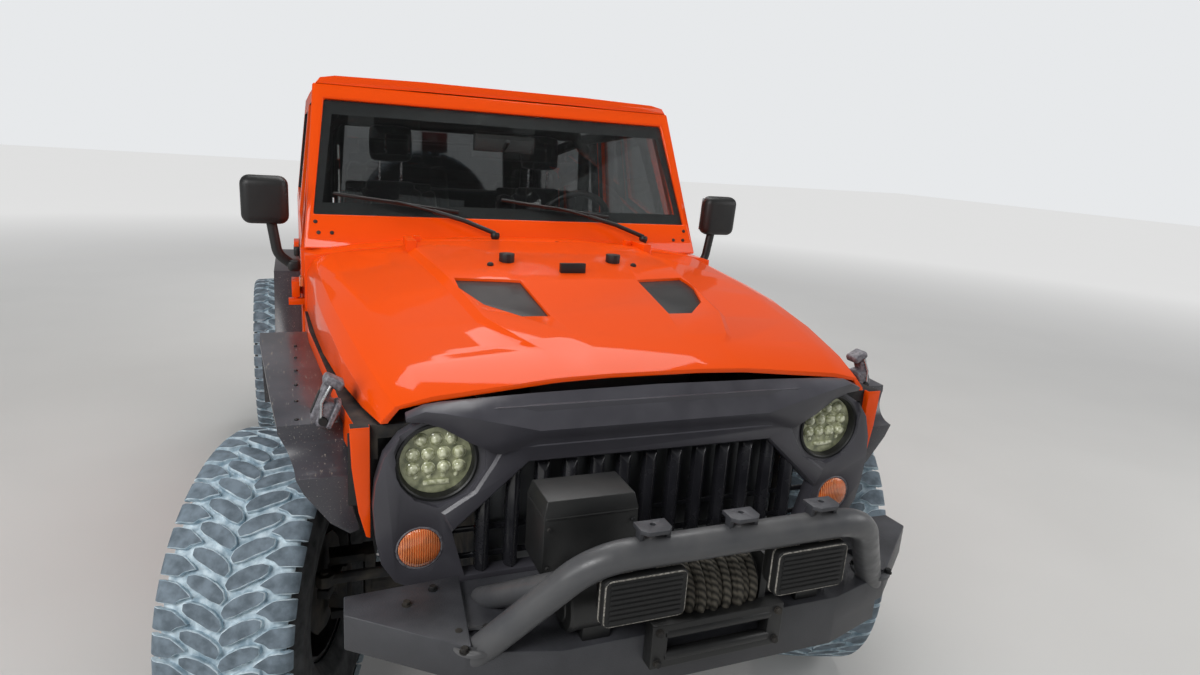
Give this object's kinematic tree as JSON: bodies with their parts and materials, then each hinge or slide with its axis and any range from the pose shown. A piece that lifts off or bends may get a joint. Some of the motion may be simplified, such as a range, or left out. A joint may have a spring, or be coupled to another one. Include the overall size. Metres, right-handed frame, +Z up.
{
  "type": "suv",
  "caption": "Two-door off-road SUV with hard top, wedge-browed grille, bull bar with winch and lamps, wide flares, mud tyres and opening doors, hood and tailgate.",
  "frame": {"origin": "centre of the overall box at ground level", "axes": "+Z up, front faces -Y, +X is the car's left"},
  "size_m": [2.2514, 4.3723, 1.8925],
  "materials": {
    "amber": "ribbed lens",
    "black_steel": "textured satin",
    "chassis_black": "rough",
    "engine_alloy": "dull",
    "flare_black": "satin",
    "grille_black": "satin",
    "lamp_black": "ribbed cover",
    "lamp_glass": "clear lens",
    "orange_paint": "glossy",
    "radiator_alloy": "dull",
    "red_lens": "ribbed lens",
    "seat_cloth": "woven",
    "trim_black": "matte",
    "tyre_rubber": "dusty",
    "wheel_black": "satin black paint",
    "window_glass": "clear"
  },
  "bodies": {
    "body": {"axles": "chassis_black", "body_sides": "orange_paint", "bull_bar": "black_steel", "cowl": "orange_paint", "dashboard": "trim_black", "driveline": "chassis_black", "driving_lamps": "lamp_black", "engine": "engine_alloy", "flares": "flare_black", "floor_pan": "orange_paint", "frame": "chassis_black", "front_bumper": "black_steel", "front_fenders": "orange_paint", "front_seats": "seat_cloth", "grille": "grille_black", "grille_slats": "grille_black", "hardtop": "orange_paint", "headlamps": "lamp_glass", "hood_latches": "trim_black", "lamp_tabs": "black_steel", "radiator": "radiator_alloy", "rear_bumper": "black_steel", "rear_seat": "seat_cloth", "sport_bar": "trim_black", "springs": "chassis_black", "suspension": "chassis_black", "tail_lamps": "red_lens", "top_glass": "window_glass", "turn_signals": "amber", "winch": "black_steel", "windshield_frame": "orange_paint", "windshield_glass": "window_glass", "wipers": "trim_black"},
    "hood": {"hood": "orange_paint", "hood_trim": "trim_black"},
    "door_left": {"door_left": "orange_paint", "door_glass_left": "window_glass", "mirror_left": "trim_black"},
    "door_right": {"door_right": "orange_paint", "door_glass_right": "window_glass", "mirror_right": "trim_black"},
    "tailgate": {"tailgate": "orange_paint", "spare_carrier": "wheel_black", "spare_tyre": "tyre_rubber", "brake_lamp": "red_lens"},
    "knuckle_left": {"knuckle_left": "chassis_black"},
    "knuckle_right": {"knuckle_right": "chassis_black"},
    "wheel_front_left": {"tyre_front_left": "tyre_rubber", "rim_front_left": "wheel_black"},
    "wheel_front_right": {"tyre_front_right": "tyre_rubber", "rim_front_right": "wheel_black"},
    "wheel_rear_left": {"tyre_rear_left": "tyre_rubber", "rim_rear_left": "wheel_black"},
    "wheel_rear_right": {"tyre_rear_right": "tyre_rubber", "rim_rear_right": "wheel_black"},
    "steering_wheel": {"steering_wheel": "trim_black"},
    "tie_rod": {"tie_rod": "chassis_black"}
  },
  "joints": [
    {"name": "steer_right", "type": "hinge", "parent": "body", "child": "knuckle_right", "pos_m": [-0.7, -1.2415, 0.43414], "axis": [0, 0, 1], "range_deg": [-10, 50]},
    {"name": "steer_left", "type": "hinge", "parent": "body", "child": "knuckle_left", "pos_m": [0.7, -1.2415, 0.43414], "axis": [0, 0, 1], "range_deg": [-10, 50]},
    {"name": "tie_rod_end", "type": "hinge", "parent": "knuckle_right", "child": "tie_rod", "pos_m": [-0.74446, -1.36366, 0.52414], "axis": [0, 0, 1], "range_deg": [-50, 10]},
    {"name": "steering_wheel_turn", "type": "hinge", "parent": "body", "child": "steering_wheel", "pos_m": [0.395, -0.0115, 1.337], "axis": [0, 0.9063, 0.4226], "range_deg": [-160, 800]},
    {"name": "spin_front_right", "type": "hinge", "parent": "knuckle_right", "child": "wheel_front_right", "pos_m": [-0.83625, -1.19191, 0.43414], "axis": [0.9397, -0.342, 0], "continuous": true},
    {"name": "spin_front_left", "type": "hinge", "parent": "knuckle_left", "child": "wheel_front_left", "pos_m": [0.83625, -1.29109, 0.43414], "axis": [0.9397, -0.342, 0], "continuous": true},
    {"name": "spin_rear_right", "type": "hinge", "parent": "body", "child": "wheel_rear_right", "pos_m": [-0.845, 1.1825, 0.43414], "axis": [1, 0, 0], "continuous": true},
    {"name": "spin_rear_left", "type": "hinge", "parent": "body", "child": "wheel_rear_left", "pos_m": [0.845, 1.1825, 0.43414], "axis": [1, 0, 0], "continuous": true},
    {"name": "door_left_hinge", "type": "hinge", "parent": "body", "child": "door_left", "pos_m": [0.795, -0.5195, 1], "axis": [0, 0, -1], "range_deg": [0, 65]},
    {"name": "door_right_hinge", "type": "hinge", "parent": "body", "child": "door_right", "pos_m": [-0.795, -0.5195, 1], "axis": [0, 0, 1], "range_deg": [0, 65]},
    {"name": "hood_hinge", "type": "hinge", "parent": "body", "child": "hood", "pos_m": [0, -0.6295, 1.345], "axis": [-1, 0, 0], "range_deg": [0, 50]},
    {"name": "tailgate_hinge", "type": "hinge", "parent": "body", "child": "tailgate", "pos_m": [-0.59, 1.8285, 1.05], "axis": [0, 0, 1], "range_deg": [0, 90]}
  ],
  "couplings": [
    {"joint": "steer_left", "follows": "steer_right", "ratio": 1},
    {"joint": "tie_rod_end", "follows": "steer_right", "ratio": -1},
    {"joint": "steering_wheel_turn", "follows": "steer_right", "ratio": 16}
  ]
}
